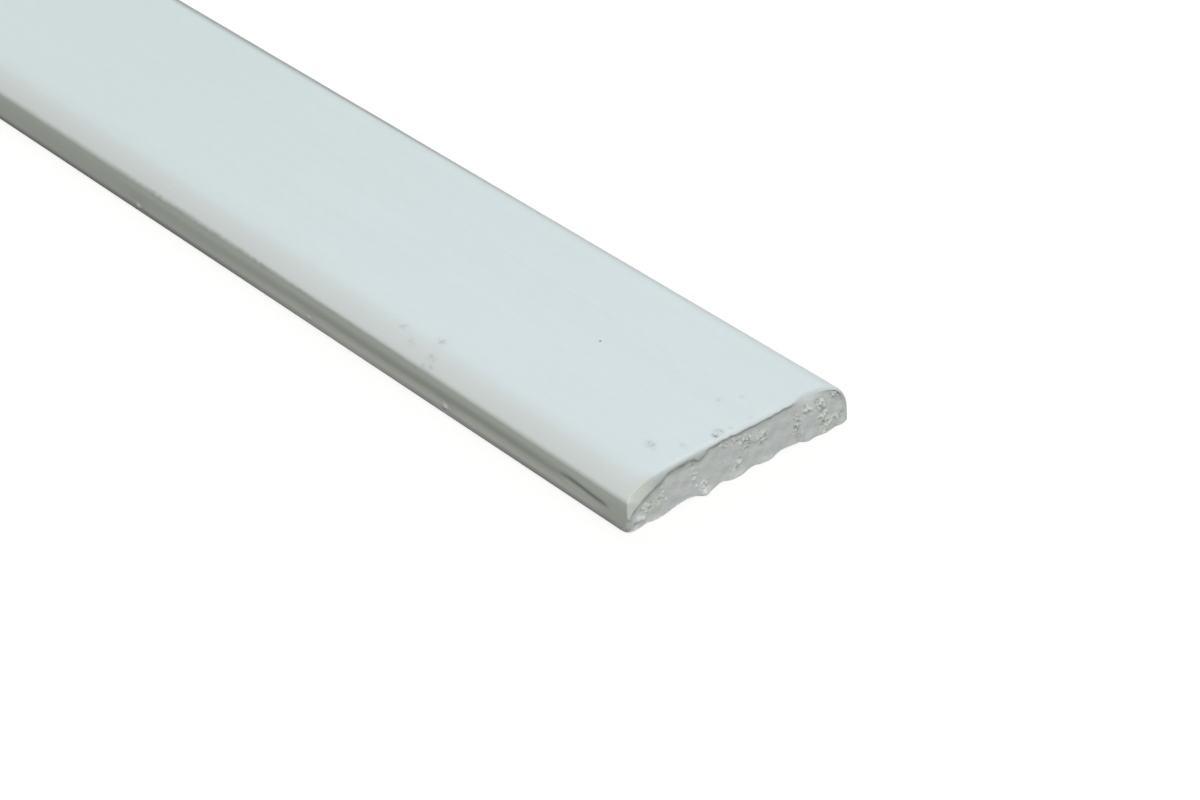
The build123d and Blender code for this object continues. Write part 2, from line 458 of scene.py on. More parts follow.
# Over which height the lip curls under to the cut, and the cut slopes out by the round back edge
CURL_HEIGHT = 1.15
SHOULDER_HEIGHT = 1.5


def crumbs():
    """The place, turn, length, width and height of each crumb or pit: scattered in its patch as a bell
    curve, small ones more common than large ones, and a third of them pits."""
    draw = np.random.default_rng(11)
    found = []
    for y, z, half_width, half_height, count in CRUMB_PATCHES:
        where = draw.normal((y, z), (half_width / 2, half_height / 2), (count, 2))
        turn = draw.uniform(0, math.pi, count)
        long = 0.22 + 0.34 * draw.random(count) ** 2
        wide = long * draw.uniform(*CRUMB_SHARES, count)
        height = wide * draw.uniform(*CRUMB_SHARES, count) * draw.choice((1, 1, -1), count)
        found.append(np.column_stack([where, turn, long, wide, height]))
    return np.concatenate(found)


CRUMBS = crumbs()


def crumb_share(y, z, crumb):
    """How near each point is to the middle of a crumb: an oval bell curve from 0 to 1."""
    cy, cz, turn, long, wide, _ = crumb
    along = (y - cy) * math.cos(turn) + (z - cz) * math.sin(turn)
    across = (z - cz) * math.cos(turn) - (y - cy) * math.sin(turn)
    return np.exp(-1.4 * ((along / long) ** 2 + (across / wide) ** 2))


def broken(y, z):
    """Relief of the broken patches: the heights of their crumbs and pits, added."""
    return sum(crumb[-1] * crumb_share(y, z, crumb) for crumb in CRUMBS)


def cut_face(y, z):
    """The x of the primed cut: a plane that leans back, with slow ripples, blobs, crumbs and pits,
    whose foot is drawn out in places by a bell curve up from the base."""
    drawn_out = np.maximum(through(FOOT_LINE, y) - foot_plane(y), 0) * np.exp(-((z / 1.3) ** 2))
    x = foot_plane(y) - CUT_LEAN * z + drawn_out
    x = x + 0.05 * ripple(y, z, wavelength=4.0, seed=5) + 0.008 * ripple(y, z, wavelength=1.2, seed=6)
    for cy, cz, radius, height in CUT_BLOBS:
        x = x + height * hill(np.hypot(y - cy, z - cz), radius)
    return x + broken(y, z)


def filled(base, top, left, right, v, u):
    """A surface filled in between its four edges, as a Coons patch: what lies straight between base
    and top, plus what lies straight between left and right, less what lies between the corners."""
    v, u = v[:, None, None], u[None, :, None]
    sides = (1 - v) * base[None] + v * top[None] + (1 - u) * left[:, None] + u * right[:, None]
    low_corners = (1 - u) * (1 - v) * base[0] + u * (1 - v) * base[-1]
    return sides - low_corners - (1 - u) * v * top[0] - u * v * top[-1]


def end_grid():
    """The whole cut as a grid of rows up the end and columns across it, with the rim for its edges.
    Rows crowd together under the lip, where the surface curls in to the cut."""
    wide_apart = np.linspace(0, CROWDED_FROM, END_ROWS - CROWDED_ROWS + 1)
    v = np.concatenate([wide_apart[:-1], np.linspace(CROWDED_FROM, 1, CROWDED_ROWS + 1)])
    u = np.linspace(0, 1, END_COLUMNS + 1)
    t_left = TOE * v
    t_top = TOE + (ROUND_CORNER - TOE) * u
    t_right = BACK_CORNER + (ROUND_CORNER - BACK_CORNER) * v
    t_base = GIRTH + (BACK_CORNER - GIRTH) * u
    left, left_x = rim(t_left)
    top, top_x = rim(t_top)
    right, right_x = rim(t_right)
    base, _ = rim(t_base)
    flat = filled(base, top, left, right, v, u)
    y, z = flat[..., 0], flat[..., 1]
    below = np.maximum(top[None, :, 1] - z, 0)
    x = cut_face(y, z)
    top_y = top[None, :, 0]
    by_back = rise(top_y, 50, 54)
    behind = np.minimum(x, top_x - eased(top_y, before=0.15, after=0.3, span=(3, 6)))
    x = x + (behind - x) * np.exp(-((below / 1.8) ** 2)) * (1 - by_back)
    curled = x + (top_x - x) * (1 - rise(below, 0, CURL_HEIGHT))
    sloped = x + (top_x - x) * np.exp(-below / SHOULDER_HEIGHT)
    x = curled + (sloped - curled) * by_back
    x = x + (left_x[:, None] - x) * np.exp(-(((y - left[:, None, 0]) / 1.0) ** 2))
    x = x + (right_x[:, None] - x) * np.exp(-(((right[:, None, 0] - y) / 0.8) ** 2))
    x[-1], x[0], x[:, 0], x[:, -1] = top_x, rim(t_base)[1], left_x, right_x
    z[-1], z[0], z[:, 0], z[:, -1] = top[:, 1], base[:, 1], left[:, 1], right[:, 1]
    ring_t = np.concatenate([t_left[:-1], t_top[:-1], t_right[::-1][:-1], t_base[::-1][:-1]])
    return np.stack([x, y, z], -1), ring_t


# The architrave: one closed mesh.
# The end, the skin and the far end are one board, so they are one mesh. Rings of points run round it,
# close together by the saw cut and by each nib and wide apart further back, and each joins the next.
END_ZONE = -4.0
RELIEF_ZONE = -192.0
PLAIN_ZONE = -300.0
BACK_END = TIP_REACH - LENGTH
FAR_ROUNDING = 0.5
FAR_ROWS = 9
FAR_COLUMNS = 46
# The hollow's end needs close rings too: x, radius
HOLLOW_MARK = (HOLLOW_END - 2, 2.0)
# The thick film where the skin starts to turn, and the rings over which it thins out
START_FILM = 0.4
START_RINGS = 12
# A ring near the end and one further back: points up the thin edge, over the face, down the back edge
# and along the base, the share of them that follows the turns, and the share on the sweep
NEAR_RING = (18, 130, 10, 36, 0.25, 0.3)
FAR_RING = (FAR_ROWS, FAR_COLUMNS, FAR_ROWS, FAR_COLUMNS, 0.45, 0.1)
# How far apart the rings are: by a mark, near the end, past the relief and further back
MARK_GAP = 0.35
NEAR_GAP = 1.4
PLAIN_GAP = 4
FAR_GAP = 40
# How thin the film counts on the cut and on the far end, which also sets their painted shade
CUT_THINNESS = 0.7
FAR_THINNESS = 2.0


def spread(place, density, count):
    """count + 1 of the places, from the first to the last, as closely spaced as the density says, or
    with a count of 0 as many as the density adds up to."""
    run = np.concatenate([[0], np.cumsum((density[1:] + density[:-1]) / 2 * np.abs(np.diff(place)))])
    steps = count if count else int(run[-1])
    return np.interp(np.linspace(0, run[-1], steps + 1), run, place)


def stretch(start, end, count, bend, ahead):
    """count places along the outline from start up to end: the share bend of them goes by how much it
    turns, the share ahead to the sweep, and the rest evenly."""
    t = np.linspace(start, end, 2000)
    normal = on_outline(t)[1]
    turning = 1e-9 + np.abs(np.gradient(np.unwrap(np.arctan2(normal[:, 1], normal[:, 0]))))
    sweep = np.where(t < SWEEP_END, 1.0, 1e-9)
    density = 1 - bend - ahead + bend * turning / turning.mean() + ahead * sweep / sweep.mean()
    return spread(t, density, count)[:-1]


def ring_places(front, face, back, base, bend, ahead):
    """The places of one ring along the outline: so many up the thin edge, over the face, down the back
    edge and home along the base."""
    up = stretch(0, TOE, front, bend, 0)
    over = stretch(TOE, ROUND_CORNER, face, bend, ahead)
    down = stretch(ROUND_CORNER, BACK_CORNER, back, bend, 0)
    return np.concatenate([up, over, down, stretch(BACK_CORNER, GIRTH, base, bend, 0)])


def stations(start, end, far_apart, close, marks):
    """Places along the board from start to end: far_apart, and close within each mark's radius."""
    x = np.linspace(start, end, 6000)
    density = np.full(x.shape, 1 / far_apart)
    for mark_x, radius in marks:
        density = np.maximum(density, np.exp(-(((x - mark_x) / (1.8 * radius)) ** 4)) / close)
    return spread(x, density, 0)[1:]


def grid_numbers(rows, columns):
    """The vertex numbers of a grid, row by row."""
    return np.arange((rows + 1) * (columns + 1)).reshape(rows + 1, columns + 1)


def grid_ring(rows, columns):
    """The edge of a grid as vertex numbers, in the order of a ring's places."""
    number = grid_numbers(rows, columns)
    return np.concatenate([number[:-1, 0], number[-1, :-1], number[:0:-1, -1], number[0, :0:-1]])


def grid_faces(rows, columns):
    """Four-sided faces of a grid of points, turned to face beyond the saw cut."""
    number = grid_numbers(rows, columns)
    corners = [number[:-1, :-1], number[:-1, 1:], number[1:, 1:], number[1:, :-1]]
    return np.stack(corners, -1).reshape(-1, 4)


def band(near, far):
    """Four-sided faces between two rings with as many points each."""
    return np.stack([near, np.roll(near, -1), np.roll(far, -1), far], -1)


def seam(near, near_t, far, far_t):
    """Triangles between two rings with different numbers of points: each edge of one meets the point
    of the other that its end has just passed."""
    near_end = np.append(near_t[1:], GIRTH)
    far_end = np.append(far_t[1:], GIRTH)
    across = np.searchsorted(far_t, near_end, "left") - 1
    back = (np.searchsorted(np.append(near_t, GIRTH), far_end, "right") - 1) % len(near_t)
    one = np.stack([near, np.roll(near, -1), far[across]], -1)
    other = np.stack([near[back], np.roll(far, -1), far], -1)
    return np.concatenate([one, other])


def far_roll(t, turn):
    """The far end's edge: a quarter circle from the skin at turn 0 to the plain cut at turn 1."""
    normal = on_outline(t)[1]
    sink = FAR_ROUNDING * (1 - math.cos(turn * math.pi / 2))
    x = np.full(t.shape, BACK_END + FAR_ROUNDING * (1 - math.sin(turn * math.pi / 2)))
    start = skin(t, np.full(t.shape, BACK_END + FAR_ROUNDING))
    return np.stack([x, start[:, 1] - sink * normal[:, 0], start[:, 2] - sink * normal[:, 1]], -1)


def far_cut(edge):
    """The far cut, filled in flat between the points of its edge."""
    corner = FAR_ROWS + FAR_COLUMNS
    left, top = edge[: FAR_ROWS + 1], edge[FAR_ROWS : corner + 1]
    right = edge[corner : corner + FAR_ROWS + 1][::-1]
    base = np.concatenate([edge[corner + FAR_ROWS :], edge[:1]])[::-1]
    v, u = np.linspace(0, 1, FAR_ROWS + 1), np.linspace(0, 1, FAR_COLUMNS + 1)
    return filled(base, top, left, right, v, u)


def thinness_and_shade(t, depth):
    """How thin the film counts round the outline: 1 where it slopes, 2 where it is steep and less by the
    back. In the thick film of the end it counts as thin only near the thin edge. It makes the film
    rougher, and it gives the sloping and steep parts painted shade."""
    point, normal = on_outline(t)
    upward = normal[:, 1]
    edge = np.clip((1 - upward) / 0.1, 0, 1) + np.clip((0.75 - upward) / 0.4, 0, 1)
    edge = edge * eased(point[:, 0], before=1, after=0.4, span=(60, 64))
    start = eased(point[:, 0], before=1.94, after=0.14, span=(4, 11))
    return edge + (start - edge) * np.minimum(1, depth / START_FILM)


def board_mesh():
    """The points and faces of the whole board, each point's share of the end's thick film, and how thin
    the film counts there, which also sets its painted shade."""
    cut, fine_t = end_grid()
    points, film = [cut.reshape(-1, 3)], [np.ones(cut.shape[0] * cut.shape[1])]
    thin = [np.full(film[0].shape, CUT_THINNESS)]
    quads, triangles = [grid_faces(END_ROWS, END_COLUMNS)], []
    ring, ring_t, count = grid_ring(END_ROWS, END_COLUMNS), fine_t, film[0].size

    def add_ring(t, place, depth):
        """Add a ring's points and film, and the faces that join it to the ring before."""
        nonlocal ring, ring_t, count
        new = count + np.arange(len(t))
        points.append(place)
        film.append(np.broadcast_to(depth, len(t)))
        thin.append(thinness_and_shade(t, film[-1]))
        if t is ring_t:
            quads.append(band(ring, new))
        else:
            triangles.append(seam(ring, ring_t, new, t))
        ring, ring_t, count = new, t, count + len(t)

    for turn in np.linspace(1, 0, ROLL_ROWS + 1)[1:]:
        add_ring(fine_t, roll(fine_t, turn), START_FILM + (1 - START_FILM) * turn)
    start = roll_start(fine_t)
    for share in np.linspace(0, 1, START_RINGS + 1)[1:]:
        x = start + (END_ZONE - start) * share**1.2
        add_ring(fine_t, skin(fine_t, x), START_FILM * (1 - share) ** 2)
    marks = [(x, radius) for x, _, radius, _ in FACE_NIBS + EDGE_NIBS]
    marks += [(x, long) for x, _, long, _, _ in FACE_DENTS] + [HOLLOW_MARK]
    near_t = ring_places(*NEAR_RING)
    for x in stations(END_ZONE, RELIEF_ZONE, NEAR_GAP, MARK_GAP, marks):
        add_ring(near_t, skin(near_t, np.full(near_t.shape, x)), 0)
    far_t = ring_places(*FAR_RING)
    plain = stations(RELIEF_ZONE, PLAIN_ZONE, PLAIN_GAP, PLAIN_GAP, [])
    far = stations(PLAIN_ZONE, BACK_END + FAR_ROUNDING, FAR_GAP, FAR_GAP, [])
    for x in np.append(plain, far):
        add_ring(far_t, skin(far_t, np.full(far_t.shape, x)), 0)
    for turn in (0.25, 0.5, 0.75):
        add_ring(far_t, far_roll(far_t, turn), 0)
    patch = far_cut(far_roll(far_t, 1.0))
    quads.append(band(ring, count + grid_ring(FAR_ROWS, FAR_COLUMNS)))
    quads.append(count + grid_faces(FAR_ROWS, FAR_COLUMNS)[:, ::-1])
    points.append(patch.reshape(-1, 3))
    film.append(np.zeros(patch.shape[0] * patch.shape[1]))
    thin.append(np.full(film[-1].shape, FAR_THINNESS))
    return [np.concatenate(rows) for rows in (points, quads, triangles, film, thin)]


def placed(name, data):
    """A new object in the scene that shows the data."""
    made = bpy.data.objects.new(name, data)
    bpy.context.scene.collection.objects.link(made)
    return made


points, quads, triangles, film, thin = board_mesh()
points = np.clip(points, (BACK_END, 0, 0), (TIP_REACH, WIDTH, THICKNESS))
origin = np.array([high.x, low.y, low.z]) - np.array([TIP_REACH, 0, 0]) * MM
mesh = bpy.data.meshes.new("primed_architrave")
mesh.from_pydata((points * MM + origin).tolist(), [], quads.tolist() + triangles.tolist())
mesh.polygons.foreach_set("use_smooth", np.ones(len(mesh.polygons), bool))
board = placed("primed_architrave", mesh)

# Painted shade along the foot of the thin edge and along its top, and on the round back edge: x, share
LOW_PAINTED_SHADE = [
    (-220, 0.89), (-160, 0.78), (-130, 0.46), (-100, 0.2), (-84, 0.36),
    (-66, 0.48), (-52, 0.4), (-40, 0.56), (-8, 0.51), (-3, 0.31),
]
ARRIS_PAINTED_SHADE = [(-230, 0.1), (-170, 0.3), (-100, 0.28), (-50, 0.06), (-10, 0.0)]
BACK_PAINTED_SHADE = [(-225, 0.88), (-160, 0.8), (-103, 0.25), (-43, 0.15), (-20, 0.0)]
# Painted shadow under the lip: y, share
LIP_PAINTED_SHADOW = [
    (2, 0.35), (5, 0.5), (11, 0.55), (14, 0.38), (17, 0.55), (20, 0.5),
    (22, 0.4), (25, 0.42), (33, 0.3), (41, 0.18), (46, 0.28),
]
# Painted shade on the base arris, in the hollow and its crease, and on the top of the arris
BASE_PAINTED_SHADE = 0.42
HOLLOW_PAINTED_SHADE = 0.13
CREASE_PAINTED_SHADE = 0.7
ARRIS_TOP_PAINTED_SHADE = 0.07
# Painted shade for each millimetre of a dent's depth and a pimple's height, and painted shadow below a
# grain for each millimetre of its height
DENT_PAINTED_SHADE = 4.4
PIMPLE_PAINTED_SHADE = 2.3
GRAIN_PAINTED_SHADOW = 1.2
# Painted shade of the cut: in its pits, far below the lip, and under the lip by the sweep and further in
PIT_PAINTED_SHADE = 0.62
WIDE_SHADE = 0.07
SWEEP_SHADE = 0.2
LIP_SHADE = 0.16
# Painted highlights on crumbs, blobs, the round shoulder, the film's facet over the sweep and its crest
# above the lip, and for each millimetre of a grain's height
CRUMB_HIGHLIGHT = 0.95
BLOB_HIGHLIGHT = 1.6
SHOULDER_HIGHLIGHT = 0.3
FACET_HIGHLIGHT = 0.22
CREST_HIGHLIGHT = 0.25
GRAIN_HIGHLIGHT = 3
# The thin edge ends at this y, and the lip lies above this z
EDGE_REACH = 1.5
LIP_FROM = 5
# A patch of so many crumbs is full of small flecks, and a few stray ones lie outside
FULL_PATCH = 50
STRAY_FLECKS = 0.12
# Which points lie on the skin, clear of the thick film, and which on the cut
on_skin = film < 0.3
on_cut = film > 0.99


def uneven(p, q, wavelength, seed, middle, swing, limits):
    """Noise about a middle, as strong as the swing, cut off at the limits."""
    return np.clip(middle + swing * ripple(p, q, wavelength, seed), *limits)


def face_painted_shade(x, y, z):
    """Painted shade: bells round the dents and pimples of the face, broken up by noise."""
    shade_share = np.zeros(len(x))
    for cx, cy, long, wide, depth in FACE_DENTS:
        bell = hill(np.hypot((x - cx) / long, (y - cy) / wide), radius=1.3)
        shade_share = np.maximum(shade_share, DENT_PAINTED_SHADE * depth * bell)
    for cx, cy, radius, height in FACE_NIBS:
        bell = hill(np.hypot(x - cx, y - cy), radius=1.8 * radius)
        shade_share = np.maximum(shade_share, PIMPLE_PAINTED_SHADE * abs(height) * bell)
    patches = uneven(x, y, wavelength=1.1, seed=31, middle=0.75, swing=0.35, limits=(0, 1.2))
    return rise(z, 8.0, 9.5) * on_skin * patches * shade_share


def edge_painted_shade(x, y, z):
    """Painted shade on the thin edge: at its foot, in its hollow and crease, along a ragged line below the
    arris, which climbs along the board, and on the top of the arris, and a painted shadow below each
    grain."""
    low = between(LOW_PAINTED_SHADE, x) * (1 - rise(z, 0.9, 2.3))
    low = low + BASE_PAINTED_SHADE * (1 - rise(z, 0.3, 0.9))
    hollow = zone(z, HOLLOW_PAINTED_SHADE, start=(3.7, 4.2), end=(6.4, 7.3))
    hollow = hollow * zone(-x, 1, start=(14, 34), end=(70, 170))
    crease = CREASE_PAINTED_SHADE * crease_share(x, z)
    climb = rise(-x, 100, 170)
    ragged = uneven(x, z, wavelength=2.6, seed=61, middle=1, swing=0.28, limits=(0.3, 1.6))
    ragged = zone(z, ragged, start=(8.0, 8.3), end=(8.55 + 0.3 * climb, 8.85 + 0.5 * climb))
    shaded_top = ARRIS_TOP_PAINTED_SHADE * rise(z, 8.3, 8.8) * (1 - rise(y, 0.7, 1.5))
    painted_shade = (hollow + crease + low + between(ARRIS_PAINTED_SHADE, x) * ragged + shaded_top) * (y < EDGE_REACH) * on_skin
    for cx, cz, radius, height in EDGE_GRAINS:
        drop = 0.8 * radius
        below = hill(np.hypot((x - cx) / 1.3, z - cz + drop), radius=drop)
        painted_shade = np.maximum(painted_shade, GRAIN_PAINTED_SHADOW * height * below * (y < EDGE_REACH))
    return painted_shade


def back_painted_shade(x, y, z):
    """Painted shade on the round back edge above its lower corner, which is wider further along the board.
    """
    wider = rise(-x, 160, 225)
    start = WIDTH - 6.2 - 0.9 * wider
    shaded_back = rise(y, start, start + 2.3 + 1.1 * wider) * (z > 0.5)
    return between(BACK_PAINTED_SHADE, x) * shaded_back * (1 - np.minimum(1, film))


def cut_painted_shade(y, z):
    """Painted shade in the pits of the cut, painted shadow below the lip, deepest a little below its edge,
    and painted shade on its underside.
    """
    pits = np.zeros(len(y))
    for pit in CRUMBS[CRUMBS[:, -1] < 0]:
        pits = np.maximum(pits, crumb_share(y, z, pit))
    for cy, cz, radius, height in CUT_BLOBS:
        pits = np.maximum(pits, (height < 0) * hill(np.hypot(y - cy, z - cz), radius))
    below = through(LIP_LINE, y) - z
    deepest = eased(y, before=0.9, after=0.65, span=(20, 25))
    reach = eased(y, before=1.43, after=1.1, span=(20, 25)) + eased(y, before=0.4, after=0, span=(3, 6))
    shade = hill((below - deepest) / reach, radius=1.0) * (1 - rise(y, 48, 53))
    patches = uneven(y, z, wavelength=3.0, seed=41, middle=0.9, swing=0.25, limits=(0.4, 1.2))
    shade = between(LIP_PAINTED_SHADOW, y) * shade * patches
    shade = shade + WIDE_SHADE * hill(below, radius=4.5) * (1 - rise(y, 30, 50))
    under = SWEEP_SHADE * rise(y, 5, 11) + zone(y, LIP_SHADE, start=(12, 16), end=(28, 34))
    under = under * rise(film, 0.5, 1.0) * (z > LIP_FROM) * (1 - rise(y, 50, 60))
    return np.where(on_cut, np.maximum(PIT_PAINTED_SHADE * pits, shade), under)


def painted_shading():
    """How much painted shade each point has, from 0 to 1: that of the four parts, added."""
    x, y, z = points.T
    return np.clip(face_painted_shade(x, y, z) + edge_painted_shade(x, y, z) + cut_painted_shade(y, z) + back_painted_shade(x, y, z), 0, 1)


def painted_highlighting():
    """How white each point is, from 0 to 1, as painted highlights: on blobs and raised crumbs of the cut,
    its shoulder, the fringe along its foot, grains on the thin edge, and the thick film's facet and crest."""
    x, y, z = points.T
    share = np.zeros(len(points))
    for crumb in CRUMBS[CRUMBS[:, -1] > 0]:
        share = np.maximum(share, CRUMB_HIGHLIGHT * crumb_share(y, z, crumb))
    for cy, cz, radius, height in CUT_BLOBS:
        blob = np.minimum(1, BLOB_HIGHLIGHT * hill(np.hypot(y - cy, z - cz), radius))
        share = np.maximum(share, (height > 0) * blob)
    shoulder = hill(np.hypot((y - 58) / 1.6, z - 11), radius=2.4)
    share = np.maximum(share, SHOULDER_HIGHLIGHT * shoulder)
    fringe = hill(z - broken_height(y) - 0.15, radius=0.5) * (y < 54)
    fringe = fringe * uneven(y, 0.0, wavelength=1.6, seed=51, middle=0.5, swing=0.4, limits=(0, 1))
    share = np.maximum(share, fringe) * on_cut
    for cx, cz, radius, height in EDGE_GRAINS:
        grain = hill(np.hypot((x - cx) / NIB_STRETCH, z - cz), radius=0.9 * radius)
        grain = np.minimum(1, GRAIN_HIGHLIGHT * height * grain)
        share = np.maximum(share, grain * (y < EDGE_REACH) * on_skin)
    facet = FACET_HIGHLIGHT * rise(film, 0.38, 0.45) * ~on_cut
    facet = facet * (z > LIP_FROM) * (1 - rise(y, 6, 11))
    crest = zone(film, CREST_HIGHLIGHT, start=(0.06, 0.28), end=(0.4, 0.6)) * (z > 9)
    crest = crest * zone(y, 1, start=(11, 16), end=(46, 52))
    return np.minimum(np.maximum(share, np.maximum(facet, crest)), 1)


def crumbling():
    """How thick the small flecks lie on each point of the cut: an oval bell for each crumb patch."""
    y, z = points[:, 1], points[:, 2]
    share = np.zeros(len(points))
    for cy, cz, half_width, half_height, count in CRUMB_PATCHES:
        away = np.hypot((y - cy) / half_width, (z - cz) / half_height)
        share = np.maximum(share, min(1.0, count / FULL_PATCH) * np.exp(-((away / 1.1) ** 4)))
    return np.maximum(share, STRAY_FLECKS) * on_cut


# The thin attribute makes the film rougher and sets the painted shade of the sloping and steep parts
attributes = {"film": film, "thin": thin, "painted_shade": painted_shading(), "white": painted_highlighting(), "crumbs": crumbling()}
for name, values in attributes.items():
    mesh.attributes.new(name, "FLOAT", "POINT").data.foreach_set("value", values.astype(np.float32))

# The architrave: the white primer.
# A cool white satin primer, put on at the mill in two passes. It clouds a little, shows the grain as
# faint streaks along the board, and sets with a fine orange peel. The cut soaked up more.
PRIMER = (0.665, 0.75, 0.788)
# Painted shade: the primer further along the board, darker and less blue, as if the light fell off
FAR_SHADED_PRIMER = (0.655, 0.744, 0.755)
# Painted shade: darker, warmer copies of the primer for the sloping sweep and round-over, the steep thin
# edge and its lower part
SWEEP_SHADED_PRIMER = (0.649, 0.698, 0.705)
EDGE_SHADED_PRIMER = (0.652, 0.728, 0.682)
LOW_EDGE_SHADED_PRIMER = (0.655, 0.690, 0.668)
CUT_PRIMER = (0.650, 0.682, 0.716)
CUT_GREEN = (0.636, 0.692, 0.672)
# Painted highlight: the lighter white of blobs, crumbs, flecks, grains, the foot's fringe and the film's
# facet and crest
HIGHLIGHT_PRIMER = (0.80, 0.84, 0.83)
# Painted shade: the dark colour mixed in under the lip, in pits, hollows and creases, on the foot, arrises
# and back edge, round dents, pimples and grains, and in dark flecks
PAINTED_SHADE_COLOUR = (0.25, 0.275, 0.265)
# How much the long swell along the board lightens and darkens it
SWELL_STRENGTH = 0.032
SWELL_LENGTH = 520.0
# Heights of the bump in millimetres: peel on the skin and what the cut adds, grain, tooth, flecks
PEEL_HEIGHT = 0.012
CUT_PEEL_HEIGHT = 0.03
GRAIN_HEIGHT = 0.012
TOOTH_HEIGHT = 0.0015
FLECK_HEIGHT = 0.35
# The satin's roughness, how much rougher the thin film is, and the painted shade of a dark fleck
ROUGHNESS = (0.50, 0.55)
THIN_ROUGHER = 0.25
FLECK_PAINTED_SHADE = 0.68
PAINT_IOR = 1.47
# One dark speck on the face: its place, radius and colour
SPECK = (-49.6, 36.2, THICKNESS - FACE_SINK)
SPECK_RADIUS = 0.32
SPECK_COLOUR = (0.07, 0.08, 0.08)


def node(tree, kind, values, **settings):
    """A node of that kind: its settings, and its inputs by name, set to a value or linked to a socket."""
    made = tree.nodes.new("ShaderNode" + kind)
    for name, value in settings.items():
        setattr(made, name, value)
    for name, value in values.items():
        if isinstance(value, bpy.types.NodeSocket):
            tree.links.new(value, made.inputs[name])
        else:
            made.inputs[name].default_value = value
    return made


def math_node(tree, operation, a, b):
    """The result of one operation on two values or sockets."""
    return node(tree, "Math", {0: a, 1: b}, operation=operation).outputs[0]


def times(tree, a, b):
    """The product of two values or sockets."""
    return math_node(tree, "MULTIPLY", a, b)


def plus(tree, a, b):
    """The sum of two values or sockets."""
    return math_node(tree, "ADD", a, b)


def attribute(tree, name):
    """A value that each point of the mesh holds."""
    return node(tree, "Attribute", {}, attribute_name=name).outputs["Fac"]


def noise(tree, place, scale, detail, stretch=(1, 1, 1)):
    """Noise from 0 to 1 that has about scale waves a millimetre, stretched by a factor for each axis."""
    moved = node(tree, "Mapping", {"Vector": place, "Scale": stretch}).outputs[0]
    values = {"Vector": moved, "Scale": scale, "Detail": detail}
    return node(tree, "TexNoise", values).outputs["Fac"]


def spread_of(tree, value, low_end, high_end):
    """Noise of 0.3 to 0.7 mapped to a low and a high value."""
    limits = {"Value": value, "From Min": 0.3, "From Max": 0.7, "To Min": low_end, "To Max": high_end}
    return node(tree, "MapRange", limits, clamp=False).outputs[0]


def ramp(tree, value, start, end):
    """0 up to start, 1 from end on, and a straight rise between them."""
    limits = {"Value": value, "From Min": start, "From Max": end}
    return node(tree, "MapRange", limits, clamp=True).outputs[0]


def blended(tree, share, under, over):
    """The colour under, covered by the colour over as far as the share says."""
    mix = node(tree, "Mix", {0: share, 6: under, 7: over}, data_type="RGBA")
    return mix.outputs[2]


def blank_material(name):
    """A new material and its node tree, with nothing in it."""
    material = bpy.data.materials.new(name)
    material.use_nodes = True
    material.node_tree.nodes.clear()
    return material, material.node_tree


